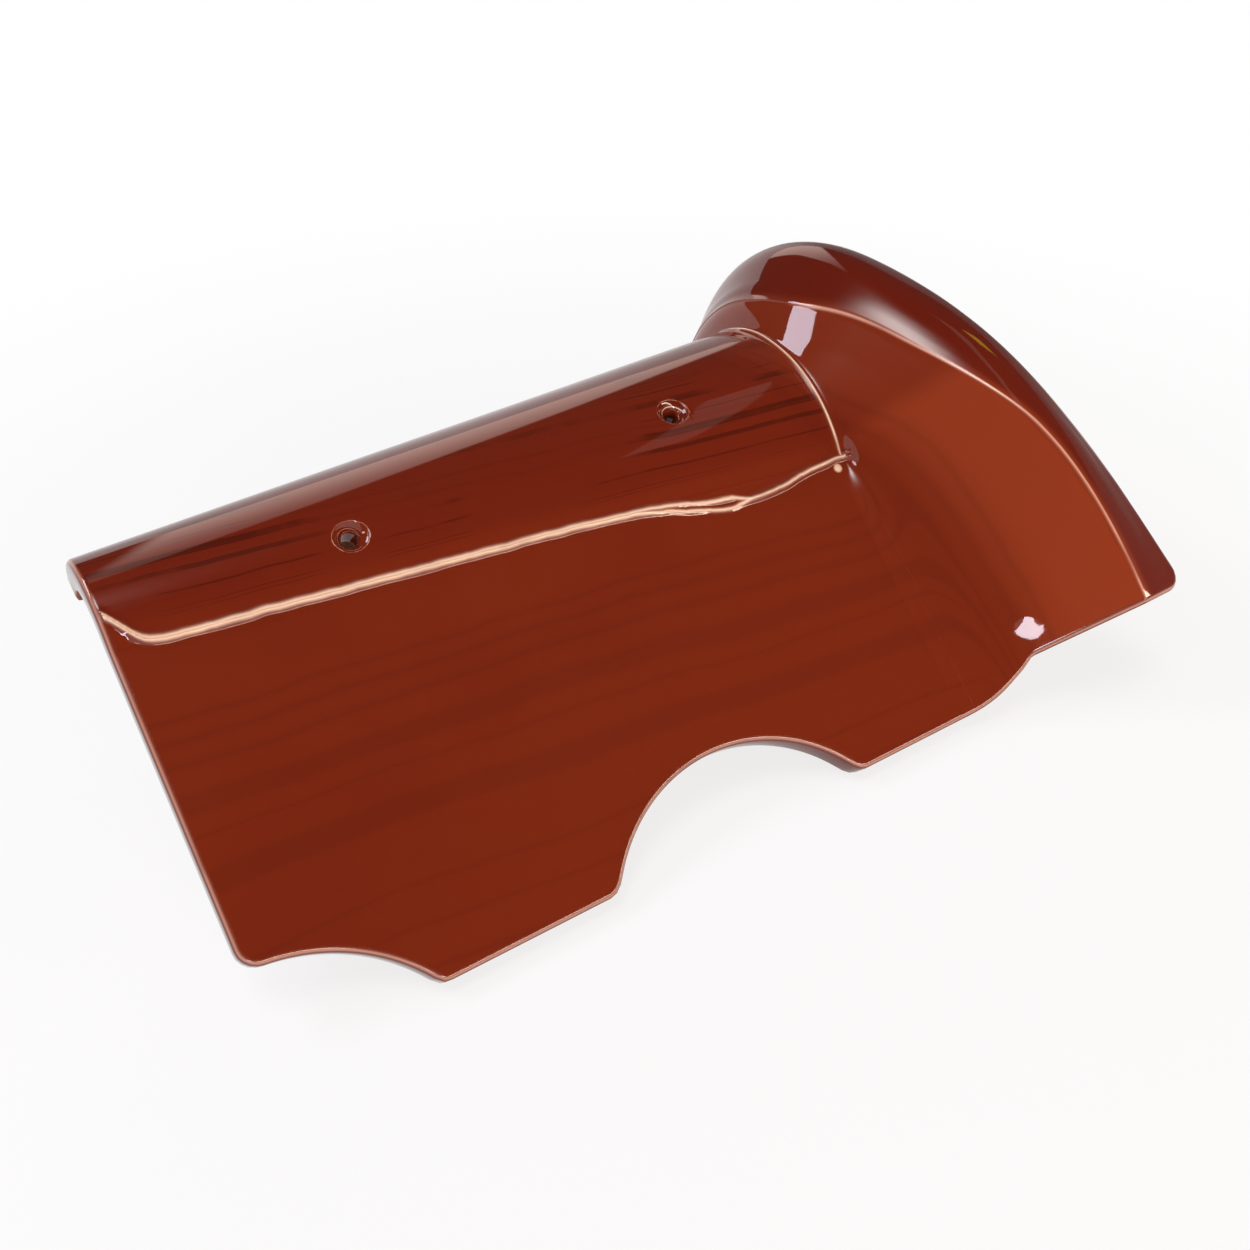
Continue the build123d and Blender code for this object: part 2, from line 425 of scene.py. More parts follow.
def bridgeLip(skin, gap, columns):  # past the roll's end the wing runs smoothly over the line of the lip
    reach, step = skinGrid["bridgeReach"], skinGrid["bridgeStep"]
    stops = (-reach - step, -reach, reach, reach + step)
    for i in np.flatnonzero(columns > tileSizes["rollEnd"]):
        rows = np.flatnonzero(gap[i] < skinGrid["outerGap"])
        g, line = gap[i, rows], skin[i, rows].copy()
        before, a, b, after = np.stack([np.interp(stops, g, line[:, k]) for k in range(3)], axis=-1)
        ta, tb = (a - before) / step * 2 * reach, (after - b) / step * 2 * reach
        t = np.clip((g + reach) / (2 * reach), 0, 1)[:, None]
        curve = (2 * t**3 - 3 * t**2 + 1) * a + (t**3 - 2 * t**2 + t) * ta
        curve += (3 * t**2 - 2 * t**3) * b + (t**3 - t**2) * tb
        share = ramp(columns[i], tileSizes["rollEnd"], skinGrid["bridgeStart"])
        inside = (np.abs(g) < reach)[:, None]
        skin[i, rows] = np.where(inside, line + (curve - line) * share, line)
    return skin


def easeSkin(outer, gap, lipRow, endColumn):  # soften the fold under the roll, and the foot of the wing
    reach = skinGrid["lipReach"]
    for _ in range(skinGrid["lipBlur"]):
        part = outer[:, lipRow - reach - 1:lipRow + reach + 2]
        outer[:, lipRow - reach:lipRow + reach + 1] = (part[:, :-2] + 2 * part[:, 1:-1] + part[:, 2:]) / 4
    before, after = skinGrid["valleyColumns"]
    wide = slice(endColumn + before, endColumn + after)
    soft = ramp(-gap, *hoodEase["easeDown"])[wide, :, None]
    for _ in range(skinGrid["valleyEase"]):
        part = outer[wide]
        held = np.concatenate([part[:1], (part[:-2] + 2 * part[1:-1] + part[2:]) / 4, part[-1:]])
        outer[wide] = part + (held - part) * soft
    return outer


def wrapSkins():  # a clean grid wrapped on the solid: outer and inner face, smoothed
    columns, (lapColumn, endColumn, rimColumn) = columnPlaces()
    rows, lipRow, lapRow = sectionRows()
    rise = cornerRise(columns)
    x = np.repeat(columns[:, None], len(rows), axis=1)
    for _ in range(skinGrid["leanRounds"]):  # the columns lean over to the rim and the slanted end
        y, z, way, gap = basePoints(x, rise, rows)
        x, lean = leanColumns(columns, y)
    y, z, way, gap = basePoints(x, rise, rows)
    push = np.stack([np.cos(way) * lean, np.cos(way), np.sin(way)], axis=-1)
    base = np.stack([x, y, z], axis=-1)
    high, low = castSkins(base, push)
    past, sigma = x - tileSizes["hoodStart"], skinGrid["hoodBlur"]
    high[past < hoodEase["plainEnd"]] = 0
    low = dropSpikes(low, skinGrid["spikeWindow"], skinGrid["spikeLimit"])
    soft = blurGrid(blurGrid(high, sigma, 0), sigma, 1)
    start, run = hoodEase["blur"]
    high = high + (soft - high) * np.clip((past - start) / run, 0, 1)
    low = blurGrid(blurGrid(low, sigma, 0), sigma, 1)
    valley = blurGrid(high, skinGrid["valleyBlur"], 0)
    ease = ramp(past, *hoodEase["valley"]) * (1 - ramp(past, *hoodEase["valleyEnd"]))
    high = high + (valley - high) * ease * ramp(-gap, *hoodEase["valleyDown"])
    place = base + push * high[..., None]
    folded, rimGap = foldRim(high, place, endColumn - skinGrid["foldBack"], rimColumn)
    low = low + folded - high
    high = folded + sagFoot(x, gap, way) * (1 - ramp(past, *hoodEase["sagEnd"]))
    outer = bridgeLip(base + push * high[..., None], gap, columns)
    inner = bridgeLip(base + push * low[..., None], gap, columns)
    outer = easeSkin(outer, gap, lipRow, endColumn)
    curl = seamShape["curl"] * np.exp(-((x / seamShape["curlReach"]) ** 2))
    seamGap = np.where(gap < skinGrid["outerGap"], gap + seamSag(x) - curl, skinGrid["farGap"])
    endGap = np.where(gap > seamShape["endLow"], x - tileSizes["rollEnd"], skinGrid["farGap"])
    gaps = {"lipGap": gap, "seamGap": seamGap, "endGap": endGap, "rimGap": rimGap}
    return outer, inner, gaps, lapColumn, lapRow


def edgeLoop(nc, nr, lapColumn, lapRow):  # grid places all round the edge of a skin, past the lap notch
    loop = [(i, 0) for i in range(nc - 1)]
    loop += [(nc - 1, j) for j in range(nr - 1)]
    loop += [(i, nr - 1) for i in range(nc - 1, lapColumn, -1)]
    loop += [(lapColumn, j) for j in range(nr - 1, lapRow, -1)]
    loop += [(i, lapRow) for i in range(lapColumn, 0, -1)]
    loop += [(0, j) for j in range(lapRow, 0, -1)]
    return np.array(loop)


def edgeRings(outer, inner, ids):  # rounded edge from the outer to the inner skin
    po, pi = outer[ids[:, 0], ids[:, 1]], inner[ids[:, 0], ids[:, 1]]
    face = unit(np.cross(np.gradient(outer, axis=0), np.gradient(outer, axis=1)))
    run = unit(po - np.roll(po, 1, axis=0)) + unit(np.roll(po, -1, axis=0) - po)
    out = unit(np.cross(run, face[ids[:, 0], ids[:, 1]]))
    through = unit(pi - po)
    ro, ri, steps = skinGrid["edgeRound"], skinGrid["innerRound"], skinGrid["edgeSteps"]
    turns = [math.pi / 2 * k / steps for k in range(steps + 1)]
    rings = [po + through * ro * (1 - math.cos(a)) + out * ro * math.sin(a) for a in turns[1:]]
    for a in turns[::-1]:
        rings.append(pi - through * ri * (1 - math.cos(a)) + out * (ro - ri + ri * math.sin(a)))
    return rings


def addMark(mesh, name, values):
    mesh.attributes.new(name, "FLOAT", "POINT").data.foreach_set("value", values.astype(np.float32))


def buildShell():  # two skins and a rounded edge all round, as one closed mesh
    outer, inner, gaps, lapColumn, lapRow = wrapSkins()
    nc, nr = outer.shape[:2]
    skin = nc * nr
    ids = edgeLoop(nc, nr, lapColumn, lapRow)
    rings = edgeRings(outer, inner, ids)
    points = np.concatenate([outer.reshape(-1, 3), inner.reshape(-1, 3), *rings])
    least, most = (np.array(corner) * mmPerM + origin for corner in cadBox)
    inset = np.array([skinGrid["boxInset"], skinGrid["boxInset"], 0])
    points = np.clip(points, least + inset, most - inset)
    off = np.full(len(points) - skin, skinGrid["farGap"])
    marks = {name: np.concatenate([gap.ravel(), off]) for name, gap in gaps.items()}
    around, steps = len(ids), skinGrid["edgeSteps"]
    ring = np.repeat(np.arange(len(rings)), around)
    marks["glazed"] = np.concatenate([np.ones(skin), np.zeros(skin), ring < steps + skinGrid["glazeRings"]])
    marks["edgeTurn"] = np.concatenate([np.zeros(skin), np.ones(skin), np.minimum((ring + 1) / steps, 1)])
    faces = []
    for i, j in np.ndindex(nc - 1, nr - 1):
        if i < lapColumn and j >= lapRow:
            continue
        a, b = i * nr + j, (i + 1) * nr + j
        faces.append((a, b, b + 1, a + 1))
        faces.append((a + skin, a + 1 + skin, b + 1 + skin, b + skin))
    flat = ids[:, 0] * nr + ids[:, 1]
    strips = [2 * skin + k * around + np.arange(around) for k in range(len(rings))]
    strips = [flat, *strips, flat + skin]
    for above, below in zip(strips[:-1], strips[1:]):
        for k in range(around):
            n = (k + 1) % around
            faces.append((int(above[k]), int(below[k]), int(below[n]), int(above[n])))
    mesh = bpy.data.meshes.new("ridgeShell")
    mesh.from_pydata(((points - origin) / mmPerM).tolist(), [], faces)
    for name, values in marks.items():
        addMark(mesh, name, values)
    work = bmesh.new()
    work.from_mesh(mesh)
    bmesh.ops.delete(work, geom=[v for v in work.verts if not v.link_faces], context="VERTS")
    bmesh.ops.recalc_face_normals(work, faces=work.faces)
    work.to_mesh(mesh)
    work.free()
    print("shell", len(mesh.vertices), "points", len(mesh.polygons), "faces")
    return mesh


nailHoles = {  # countersunk holes through the roll, in mm and degrees
    "places": (97.0, 254.5),
    "angles": (53.0, 65.5),
    "bore": 3.5,
    "sink": 7.0,
    "sinkAngle": 41.0,
    "sides": 48,
    "through": 30.0,
    "seatRings": ((-0.5, 0.0), (0.6, 0.35)),  # above the foot of the sink, and outside the bore
    "mouthRings": ((-0.9, -0.7), (-0.3, 0.1), (0.15, 1.3), (6.0, 22.0)),  # above the roll, outside the sink
    "marks": {"glazed": 1.0, "lipGap": 60.0, "seamLine": 60.0, "endGap": -90.0, "rimGap": -200.0},
}


def nailCutter(place, angle, name):  # straight bore with a soft-edged countersunk mouth
    radius, cy, cz, _ = rollAt(place)
    turn = math.radians(180 - angle)
    out = Vector((0, math.cos(turn), math.sin(turn)))
    seat = Vector((place, cy, cz)) + out * radius - Vector(origin)
    bore, sink, sides = nailHoles["bore"], nailHoles["sink"], nailHoles["sides"]
    depth = (sink - bore) / math.tan(math.radians(nailHoles["sinkAngle"]))
    rings = [(-nailHoles["through"], bore)]
    rings += [(high - depth, bore + more) for high, more in nailHoles["seatRings"]]
    rings += [(high, sink + more) for high, more in nailHoles["mouthRings"]]
    side = Vector((1, 0, 0))
    other = out.cross(side)
    turns = [math.tau * k / sides for k in range(sides)]
    work = bmesh.new()
    loops = []
    for high, r in rings:
        spots = [seat + out * high + (side * math.cos(a) + other * math.sin(a)) * r for a in turns]
        loops.append([work.verts.new(p / mmPerM) for p in spots])
    for low, up in zip(loops[:-1], loops[1:]):
        for k in range(sides):
            n = (k + 1) % sides
            work.faces.new((low[k], low[n], up[n], up[k]))
    work.faces.new(loops[0][::-1])
    work.faces.new(loops[-1])
    bmesh.ops.recalc_face_normals(work, faces=work.faces)
    mesh = bpy.data.meshes.new(name)
    work.to_mesh(mesh)
    work.free()
    for mark, value in nailHoles["marks"].items():
        addMark(mesh, mark, np.full(len(mesh.vertices), value))
    cutter = bpy.data.objects.new(name, mesh)
    bpy.context.scene.collection.objects.link(cutter)
    return cutter


def feed(tree, sockets, terms):  # each term is a socket to link, or a plain value
    for socket, term in zip(sockets, terms):
        if isinstance(term, bpy.types.NodeSocket):
            tree.links.new(term, socket)
        else:
            socket.default_value = term


def calculate(tree, operation, *terms):
    node = tree.nodes.new("ShaderNodeMath")
    node.operation = operation
    feed(tree, node.inputs, terms)
    return node.outputs[0]


def vectorMath(tree, operation, *terms):
    node = tree.nodes.new("ShaderNodeVectorMath")
    node.operation = operation
    feed(tree, node.inputs, terms)
    return node


seamRelief = {  # hand-pressed seam and uneven glaze: heights, reaches and ends in m, widths along a gap in mm
    "Seam Height": 0.0012,
    "Seam Width": 1.5,
    "Seam Spread": 1.8,
    "Seam Wave": 3.4,
    "Seam Jitter": 1.5,
    "End Height": 0.0013,
    "End Width": 1.5,
    "Double End": 0.058,
    "Pinch Height": 0.0015,
    "Pinch Reach": 0.0085,
    "Drop Height": 0.0011,
    "Drop Reach": 0.0024,
    "Ripple Height": 0.00016,
    "Seed": 4.0,
}

reliefForm = {  # how the relief runs along the tile; each noise has its stretch per m and its detail
    "wave": ((24, 0, 0), 3.0),
    "jitter": ((130, 0, 0), 3.0),
    "spread": ((70, 0, 0), 2.0),
    "thick": ((55, 30, 30), 2.0),
    "ripple": ((9, 60, 60), 2.0),
    "rippleDown": 0.5,
    "thickness": (1.5, 0.95),  # how much it varies, and its middle
    "apartGrow": 22.0,  # how the seam's two beads part: per m to the right, rounding, least
    "apartSoft": 0.4,
    "apartLeast": 0.35,
    "doubleFade": 120.0,
    "seamStop": 0.1165,  # m
    "endShift": 1.0,  # mm
    "endTop": 110.0,
    "glazeLimit": 0.25,
    "Pinch": (0.1455, -0.1140, 0.0495),  # m: the pressed corner where the wing meets the hem
    "Drop": (0.1093, -0.0231, 0.0917),  # m: a drop of glaze under the seam's end, which the glaze also tints cream as a painted highlight
}


def reliefTree(glaze, clay):
    tree = bpy.data.node_groups.new("glazeRelief", "GeometryNodeTree")
    tree.is_modifier = True
    tree.interface.new_socket("Geometry", in_out="INPUT", socket_type="NodeSocketGeometry")
    for name in seamRelief:
        tree.interface.new_socket(name, in_out="INPUT", socket_type="NodeSocketFloat")
    tree.interface.new_socket("Geometry", in_out="OUTPUT", socket_type="NodeSocketGeometry")
    nodes, form = tree.nodes, reliefForm
    inputs = nodes.new("NodeGroupInput")
    outputs = nodes.new("NodeGroupOutput")
    value = {socket.name: socket for socket in inputs.outputs}
    calc = partial(calculate, tree)
    place = nodes.new("GeometryNodeInputPosition").outputs[0]
    split = nodes.new("ShaderNodeSeparateXYZ")
    feed(tree, split.inputs, [place])
    x = split.outputs[0]

    def named(name):
        node = nodes.new("GeometryNodeInputNamedAttribute")
        node.data_type = "FLOAT"
        node.inputs["Name"].default_value = name
        return node.outputs["Attribute"]

    def noise(name):  # fixed-seed noise about zero
        stretch, detail = form[name]
        texture = nodes.new("ShaderNodeTexNoise")
        texture.noise_dimensions = "4D"
        spot = vectorMath(tree, "MULTIPLY", place, stretch).outputs[0]
        sockets = [texture.inputs[key] for key in ("Vector", "W", "Scale", "Detail")]
        feed(tree, sockets, [spot, value["Seed"], 1.0, detail])
        return calc("SUBTRACT", texture.outputs[0], 0.5)

    def bump(distance, width):  # rounded bead across a line
        share = calc("DIVIDE", distance, width)
        return calc("EXPONENT", calc("MULTIPLY", calc("MULTIPLY", share, share), -1.0))

    lip = named("lipGap")
    centre = calc("ADD", named("seamGap"), calc("MULTIPLY", noise("wave"), value["Seam Wave"]))
    centre = calc("ADD", centre, calc("MULTIPLY", noise("jitter"), value["Seam Jitter"]))
    grown = calc("MAXIMUM", calc("MULTIPLY", x, form["apartGrow"]), 0.0)
    apart = calc("SMOOTH_MIN", grown, 1.0, form["apartSoft"])
    apart = calc("MULTIPLY", calc("ADD", apart, form["apartLeast"]), value["Seam Spread"])
    apart = calc("MULTIPLY", apart, calc("ADD", noise("spread"), 1.0))
    fade = calc("MULTIPLY", calc("SUBTRACT", value["Double End"], x), form["doubleFade"])
    apart = calc("MULTIPLY", apart, calc("MINIMUM", calc("MAXIMUM", fade, 0.0), 1.0))
    upper = bump(calc("SUBTRACT", centre, apart), value["Seam Width"])
    lower = bump(calc("ADD", centre, apart), value["Seam Width"])
    varied, middle = form["thickness"]
    thick = calc("ADD", calc("MULTIPLY", noise("thick"), varied), middle)
    seam = calc("MULTIPLY", calc("MULTIPLY", calc("ADD", upper, lower), thick), value["Seam Height"])
    stop = calc("LESS_THAN", x, form["seamStop"])
    seam = calc("MULTIPLY", seam, stop)
    end = bump(calc("ADD", named("endGap"), form["endShift"]), value["End Width"])
    end = calc("MULTIPLY", end, calc("LESS_THAN", lip, form["endTop"]))
    end = calc("MULTIPLY", calc("MULTIPLY", end, thick), value["End Height"])
    outer = calc("LESS_THAN", lip, skinGrid["outerGap"])
    ripple = calc("SUBTRACT", noise("ripple"), form["rippleDown"])
    ripple = calc("MULTIPLY", ripple, value["Ripple Height"])
    rise = calc("ADD", calc("MAXIMUM", seam, end), calc("MULTIPLY", ripple, outer))
    spots = {}
    for name in ("Pinch", "Drop"):
        away = vectorMath(tree, "DISTANCE", place, form[name]).outputs["Value"]
        spots[name] = calc("MULTIPLY", bump(away, value[name + " Reach"]), outer)
        rise = calc("ADD", rise, calc("MULTIPLY", spots[name], value[name + " Height"]))
    push = vectorMath(tree, "SCALE", nodes.new("GeometryNodeInputNormal").outputs[0])
    feed(tree, [push.inputs["Scale"]], [rise])
    move = nodes.new("GeometryNodeSetPosition")
    sockets = [move.inputs["Geometry"], move.inputs["Offset"]]
    feed(tree, sockets, [value["Geometry"], push.outputs[0]])
    last = move.outputs[0]
    strayed = calc("MULTIPLY", calc("SUBTRACT", 1.0, stop), skinGrid["farGap"])
    # the seam's line and the drop's spot are kept for the glaze's painted highlights
    fields = {"seamLine": calc("ADD", centre, strayed), "seamApart": apart, "drop": spots["Drop"]}
    for name, field in fields.items():
        keep = nodes.new("GeometryNodeStoreNamedAttribute")
        keep.data_type = "FLOAT"
        keep.domain = "POINT"
        feed(tree, [keep.inputs[key] for key in ("Name", "Geometry", "Value")], [name, last, field])
        last = keep.outputs[0]
    realize = nodes.new("GeometryNodeRealizeInstances")
    feed(tree, realize.inputs, [last])
    paint = nodes.new("GeometryNodeSetMaterial")
    feed(tree, [paint.inputs["Geometry"], paint.inputs["Material"]], [realize.outputs[0], glaze])
    under = nodes.new("GeometryNodeSetMaterial")
    bare = calc("LESS_THAN", named("glazed"), form["glazeLimit"])
    sockets = [under.inputs[key] for key in ("Geometry", "Selection", "Material")]
    feed(tree, sockets, [paint.outputs[0], bare, clay])
    feed(tree, outputs.inputs, [under.outputs[0]])
    return tree


mottleForm = {  # the noises of the shared mottle: scales per m and details
    "patchDetail": 4.0,
    "waver": (9.0, 3.0),
    "grain": (900.0, 2.0),
    "lineThin": 0.032,
}


def firedMottle():  # shared by glaze and bare clay: uneven firing, and fine lines along an attribute, which the glaze uses as painted reflection streaks
    group = bpy.data.node_groups.new("firedMottle", "ShaderNodeTree")
    for name in ("Patch Scale", "Line Scale", "Line Waver"):
        group.interface.new_socket(name, in_out="INPUT", socket_type="NodeSocketFloat")
    group.interface.new_socket("Place", in_out="INPUT", socket_type="NodeSocketVector")
    group.interface.new_socket("Along", in_out="INPUT", socket_type="NodeSocketFloat")
    for name in ("Patches", "Lines", "Grains"):
        group.interface.new_socket(name, in_out="OUTPUT", socket_type="NodeSocketFloat")
    nodes, calc = group.nodes, partial(calculate, group)
    inputs, outputs = nodes.new("NodeGroupInput").outputs, nodes.new("NodeGroupOutput").inputs

    def noise(scale, detail):
        node = nodes.new("ShaderNodeTexNoise")
        sockets = [node.inputs[key] for key in ("Vector", "Scale", "Detail")]
        feed(group, sockets, [inputs["Place"], scale, detail])
        return node.outputs[0]

    waver = calc("MULTIPLY", calc("SUBTRACT", noise(*mottleForm["waver"]), 0.5), inputs["Line Waver"])
    along = calc("MULTIPLY", calc("ADD", inputs["Along"], waver), inputs["Line Scale"])
    bands = nodes.new("ShaderNodeTexNoise")
    bands.noise_dimensions = "1D"
    feed(group, [bands.inputs[key] for key in ("W", "Scale", "Detail")], [along, 1.0, 1.0])
    near = calc("ABSOLUTE", calc("SUBTRACT", bands.outputs[0], 0.5))
    line = calc("SUBTRACT", 1.0, calc("DIVIDE", near, mottleForm["lineThin"]))
    patches = noise(inputs["Patch Scale"], mottleForm["patchDetail"])
    feed(group, outputs, [patches, calc("MAXIMUM", line, 0.0), noise(*mottleForm["grain"])])
    return group


glazeLook = {  # colours, widths of painted highlight lines in mm, and ranges: from two values to two values
    "deepRed": (0.120, 0.0075, 0.0020, 1),
    "plainRed": (0.185, 0.0200, 0.0046, 1),
    # painted light: a lighter red where light falls on the wing
    "paintedLitRed": (0.276, 0.0395, 0.0116, 1),
    # painted highlight: cream for the seam, the roll's end and the glaze drop
    "paintedHighlightCream": (0.95, 0.66, 0.48, 1),
    # painted highlight: pink for the rim and the rounded edges
    "paintedHighlightPink": (0.74, 0.38, 0.27, 1),
    "seamWidth": 0.85,
    "endWidth": 0.6,
    "rimWidth": 0.5,
    "edgeLine": (0.4, 0.18, 0.6),  # place and width by the turn of the edge, and strength of its painted highlight line
    "patchScale": 7.0,
    "lineScale": 0.034,
    "lineWaver": 16.0,
    "lineDark": 0.10,
    "wingLines": (-62, -45, 0, 1),
    "patchTone": (0.2, 0.55, 0.68, 1),
    # the wing, band and roll tones below are painted light and shade
    "wingTone": (-48, -20, 0, 1),
    "bandTone": (0, 5, 0, 0.85),
    "rollTone": (2, 14, 0, 0.45),
    "endFade": (95, 125, 1, 0),
    "dropHighlightFade": (0.3, 0.7, 0, 1),
    "rimFade": (0.028, 0.042, 1, 0),
    "creamBreak": (0.25, 0.5, 0.35, 1.0),
    "pinkBreak": (0.3, 0.5, 0.5, 1.0),
    "roughness": (0.3, 0.7, 0.025, 0.05),
    "ior": 1.52,
    "bump": 0.0002,
}

rollLook = {  # dark streaks along the roll: painted reflection streaks in the glaze
    "patchScale": 22.0,
    "lineScale": 0.13,
    "lineWaver": 9.0,
    "start": (4, 12, 0, 1),
    "stop": (180, 200, 1, 0),
    "end": (-3, 0, 1, 0),
    "broken": (0.45, 0.6, 0, 0.5),
}

clayLook = {
    "pale": (0.42, 0.165, 0.082, 1),
    "dark": (0.29, 0.098, 0.045, 1),
    "patchScale": 16.0,
    "lineScale": 0.08,
    "lineWaver": 14.0,
    "patchTone": (0.3, 0.72, 0, 1),
    "roughness": (0.3, 0.7, 0.78, 0.95),
    "bump": 0.0004,
}


def mottleNode(tree, group, look, along):
    node = tree.nodes.new("ShaderNodeGroup")
    node.node_tree = group
    place = tree.nodes.new("ShaderNodeTexCoord").outputs["Object"]
    feed(tree, node.inputs, [look["patchScale"], look["lineScale"], look["lineWaver"], place, along])
    return node


def mapRange(tree, value, low, high, toLow, toHigh):
    node = tree.nodes.new("ShaderNodeMapRange")
    node.interpolation_type = "SMOOTHSTEP"
    sockets = [node.inputs[key] for key in ("Value", "From Min", "From Max", "To Min", "To Max")]
    feed(tree, sockets, [value, low, high, toLow, toHigh])
    return node.outputs[0]


def mixColours(tree, factor, a, b, blend="MIX"):
    node = tree.nodes.new("ShaderNodeMix")
    node.data_type = "RGBA"
    node.blend_type = blend
    feed(tree, [node.inputs[0], node.inputs[6], node.inputs[7]], [factor, a, b])
    return node.outputs[2]


def attribute(tree, name):
    node = tree.nodes.new("ShaderNodeAttribute")
    node.attribute_name = name
    return node.outputs["Fac"]


def fineLine(tree, distance, width):  # 1 on a line, fading away from it
    square = calculate(tree, "POWER", calculate(tree, "DIVIDE", distance, width), 2.0)
    return calculate(tree, "EXPONENT", calculate(tree, "MULTIPLY", square, -1.0))


def finishSurface(tree, shader, tone, rough, height, depth):
    bump = tree.nodes.new("ShaderNodeBump")
    feed(tree, [bump.inputs["Distance"], bump.inputs["Height"]], [depth, height])
    sockets = [shader.inputs[key] for key in ("Base Color", "Roughness", "Normal")]
    feed(tree, sockets, [tone, rough, bump.outputs[0]])


def glazeMaterial(group):
    material = bpy.data.materials.new("redBrownGlaze")
    material.use_nodes = True
    tree, look = material.node_tree, glazeLook
    calc, span, mix, mark = (partial(f, tree) for f in (calculate, mapRange, mixColours, attribute))
    shader = tree.nodes["Principled BSDF"]
    shader.inputs["IOR"].default_value = look["ior"]
    lip, rim, end = mark("lipGap"), mark("rimGap"), mark("endGap")
    onWing = span(rim, *look["wingLines"])
    along = calc("ADD", lip, calc("MULTIPLY", onWing, calc("SUBTRACT", rim, lip)))
    mottle = mottleNode(tree, group, look, along)
    patches, lines = mottle.outputs["Patches"], mottle.outputs["Lines"]
    tone = mix(span(patches, *look["patchTone"]), look["deepRed"], look["plainRed"])
    # painted light: the wing is lightened up to its rim, where light falls on it
    tone = mix(span(rim, *look["wingTone"]), tone, look["paintedLitRed"])
    # painted shade: the band beyond the rim is darkened, standing in for the dark surroundings it reflects
    tone = mix(span(rim, *look["bandTone"]), tone, look["deepRed"])
    # painted shade: the roll is darkened from just above the seam up, standing in for the dark apron it
    # reflects
    tone = mix(span(lip, *look["rollTone"]), tone, look["deepRed"])
    # painted reflection: fine dark streaks along the lip, and along the rim on the wing
    tone = mix(1.0, tone, span(lines, 0, 1, 1.0, 1.0 - look["lineDark"]), "MULTIPLY")
    # painted reflection: broken dark streaks along the roll
    streaks = mottleNode(tree, group, rollLook, lip)
    broken = streaks.outputs["Patches"]
    onRoll = calc("MULTIPLY", span(lip, *rollLook["start"]), span(lip, *rollLook["stop"]))
    onRoll = calc("MULTIPLY", onRoll, span(end, *rollLook["end"]))
    streak = calc("MULTIPLY", streaks.outputs["Lines"], span(broken, *rollLook["broken"]))
    streak = calc("SUBTRACT", 1.0, calc("MULTIPLY", streak, onRoll))
    tone = mix(1.0, tone, streak, "MULTIPLY")
    # painted highlights: cream lines along the seam's beads and the roll's end, and a cream spot on the glaze
    # drop
    seam = calc("SUBTRACT", calc("ABSOLUTE", mark("seamLine")), mark("seamApart"))
    seam = fineLine(tree, seam, look["seamWidth"])
    ending = fineLine(tree, calc("ADD", end, reliefForm["endShift"]), look["endWidth"])
    ending = calc("MULTIPLY", ending, span(lip, *look["endFade"]))
    cream = calc("MAXIMUM", calc("MAXIMUM", seam, ending), span(mark("drop"), *look["dropHighlightFade"]))
    cream = calc("MULTIPLY", cream, span(broken, *look["creamBreak"]))
    tone = mix(cream, tone, look["paintedHighlightCream"])
    split = tree.nodes.new("ShaderNodeSeparateXYZ")
    feed(tree, split.inputs, [tree.nodes.new("ShaderNodeTexCoord").outputs["Object"]])
    # painted highlights: a pink line along the rim, fading out near its top, and along the turn of the
    # rounded edges
    rimHighlight = fineLine(tree, rim, look["rimWidth"])
    rimHighlight = calc("MULTIPLY", rimHighlight, span(split.outputs["Y"], *look["rimFade"]))
    turn, width, strength = look["edgeLine"]
    edgeHighlight = fineLine(tree, calc("SUBTRACT", mark("edgeTurn"), turn), width)
    pink = calc("MAXIMUM", rimHighlight, calc("MULTIPLY", edgeHighlight, strength))
    pink = calc("MULTIPLY", pink, span(broken, *look["pinkBreak"]))
    tone = mix(pink, tone, look["paintedHighlightPink"])
    finishSurface(tree, shader, tone, span(patches, *look["roughness"]), patches, look["bump"])
    return material


def clayMaterial(group):
    material = bpy.data.materials.new("bareClay")
    material.use_nodes = True
    tree, look = material.node_tree, clayLook
    mottle = mottleNode(tree, group, look, 0.0)
    patches, grains = mottle.outputs["Patches"], mottle.outputs["Grains"]
    tone = mixColours(tree, mapRange(tree, patches, *look["patchTone"]), look["dark"], look["pale"])
    rough = mapRange(tree, grains, *look["roughness"])
    finishSurface(tree, tree.nodes["Principled BSDF"], tone, rough, grains, look["bump"])
    return material


def makeTile():
    group = firedMottle()
    glaze, clay = glazeMaterial(group), clayMaterial(group)
    tile = bpy.data.objects.new("ridgeTile", buildShell())
    bpy.context.scene.collection.objects.link(tile)
    relief = tile.modifiers.new("relief", "NODES")
    relief.node_group = reliefTree(glaze, clay)
    for socket in relief.node_group.interface.items_tree:
        if socket.in_out == "INPUT" and socket.name in seamRelief:
            relief[socket.identifier] = seamRelief[socket.name]
    cutters = []
    for place, angle, name in zip(nailHoles["places"], nailHoles["angles"], ("cutLeft", "cutRight")):
        cutters.append(nailCutter(place, angle, name))
        cutters[-1].data.materials.append(glaze)
        cut = tile.modifiers.new(name, "BOOLEAN")
        cut.operation = "DIFFERENCE"
        cut.solver = "EXACT"
        cut.object = cutters[-1]
    bpy.context.view_layer.update()
    graph = bpy.context.evaluated_depsgraph_get()
    mesh = bpy.data.meshes.new_from_object(tile.evaluated_get(graph))
    tile.modifiers.clear()
    tile.data = mesh
    for cutter in cutters:
        bpy.data.objects.remove(cutter)
    for polygon in mesh.polygons:
        polygon.use_smooth = True
    mesh.set_sharp_from_angle(angle=math.radians(skinGrid["sharpAngle"]))
    print("tile", len(mesh.polygons), "faces", [m.name for m in mesh.materials])
    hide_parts("ridge_tile")
    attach(tile, "root")


